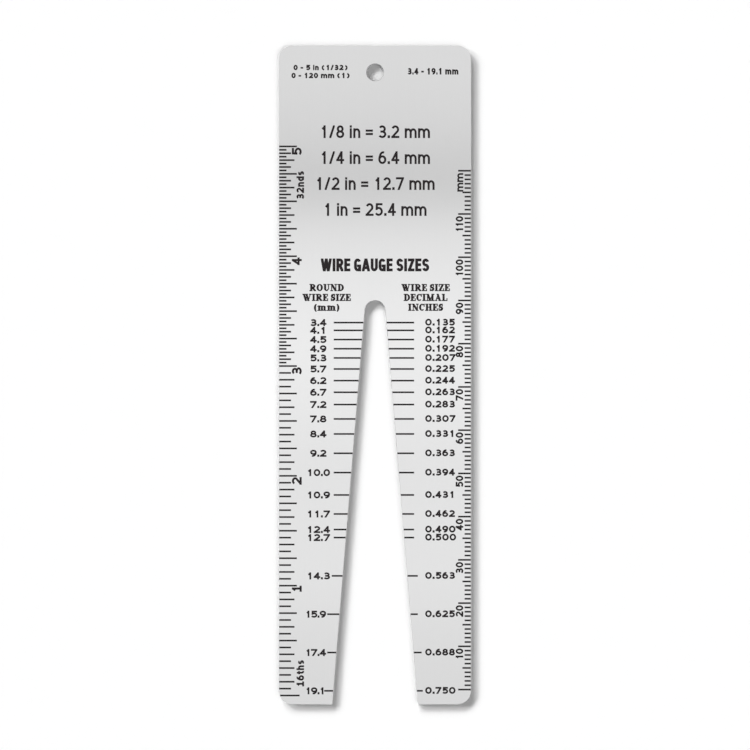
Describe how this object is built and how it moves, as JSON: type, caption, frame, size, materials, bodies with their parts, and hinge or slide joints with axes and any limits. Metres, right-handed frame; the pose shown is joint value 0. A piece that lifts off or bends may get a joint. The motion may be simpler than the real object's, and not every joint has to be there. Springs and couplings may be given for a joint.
{
  "type": "wire gauge plate",
  "caption": "Flat stainless plate with a tapered open slot and etched lines for gauging round wire, inch and millimetre scales along its edges, and a hanging hole.",
  "frame": {"origin": "on the back face, under the middle of the plate's box", "axes": "+X across the plate towards the millimetre scale, +Y along it from the slotted foot to the head with the hanging hole, +Z out of the marked face"},
  "size_m": [0.0444, 0.1524, 0.0008],
  "materials": {
    "stainless": "fine lengthwise brushed finish",
    "black_fill": "satin black in the etched marks"
  },
  "bodies": {
    "root": {"gauge_plate": "stainless"}
  },
  "joints": []
}
